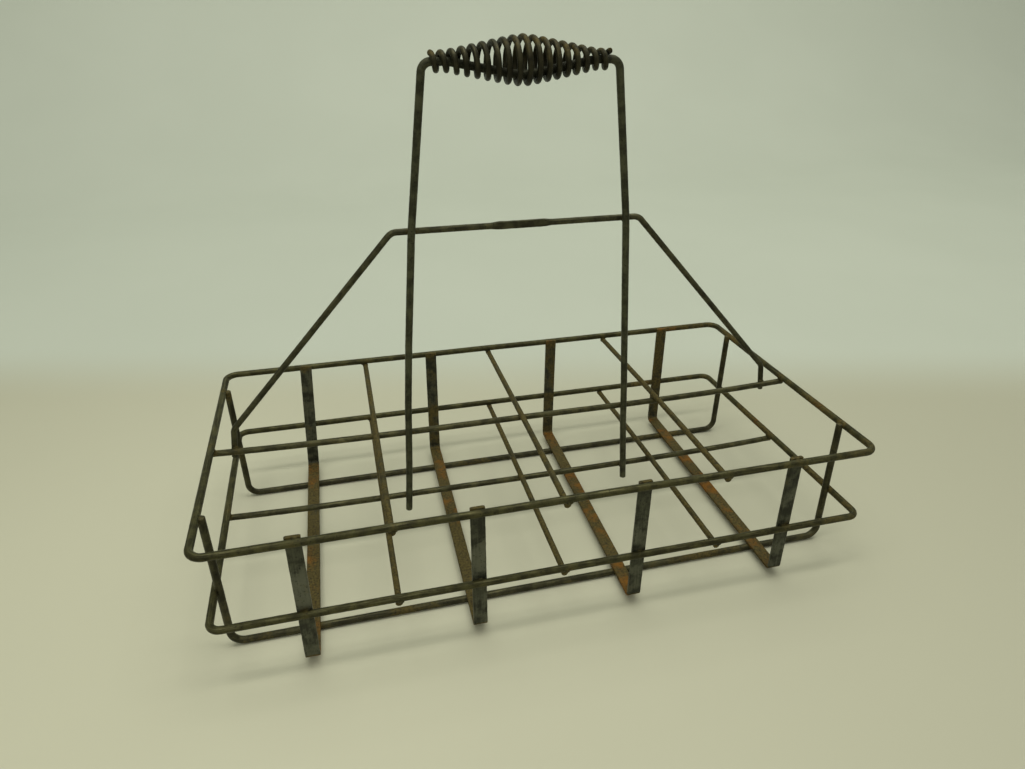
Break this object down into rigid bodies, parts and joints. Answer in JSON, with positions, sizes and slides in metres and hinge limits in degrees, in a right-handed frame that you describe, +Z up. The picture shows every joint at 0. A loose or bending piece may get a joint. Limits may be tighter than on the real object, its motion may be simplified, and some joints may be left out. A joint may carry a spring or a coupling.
{
  "type": "milk bottle carrier",
  "caption": "Wire bottle carrier with a divided basket, flat strap seats and a tall handle with a turning coil grip.",
  "frame": {"origin": "on the floor under the middle of the basket", "axes": "+X along the basket, -Y the front, +Z up"},
  "size_m": [0.4334, 0.2238, 0.3434],
  "materials": {
    "hoop_steel": "dull worn steel wire",
    "runner_steel": "dull worn steel wire",
    "strap_steel": "rusted flat steel strap, dark on its legs",
    "divider_steel": "dull worn steel wire",
    "cross_steel": "browned steel wire",
    "handle_steel": "dark steel rod",
    "brace_steel": "dull worn steel wire",
    "coil_steel": "dark steel coil, worn brighter on its crowns"
  },
  "bodies": {
    "frame": {"top_rim": "hoop_steel", "middle_ring": "hoop_steel", "front_runner": "runner_steel", "rear_runner": "runner_steel", "strap_1": "strap_steel", "strap_2": "strap_steel", "strap_3": "strap_steel", "strap_4": "strap_steel", "upper_long_divider": "divider_steel", "lower_long_divider": "divider_steel", "upper_cross_divider_1": "cross_steel", "upper_cross_divider_2": "cross_steel", "upper_cross_divider_3": "cross_steel", "lower_cross_divider_1": "cross_steel", "lower_cross_divider_2": "cross_steel", "lower_cross_divider_3": "cross_steel", "handle_frame": "handle_steel", "brace_wire": "brace_steel"},
    "grip": {"coil_grip": "coil_steel"}
  },
  "joints": [
    {"name": "grip_turn", "type": "hinge", "parent": "frame", "child": "grip", "pos_m": [-0.0027, -0.00488, 0.3296], "axis": [1, 0, 0], "continuous": true}
  ]
}
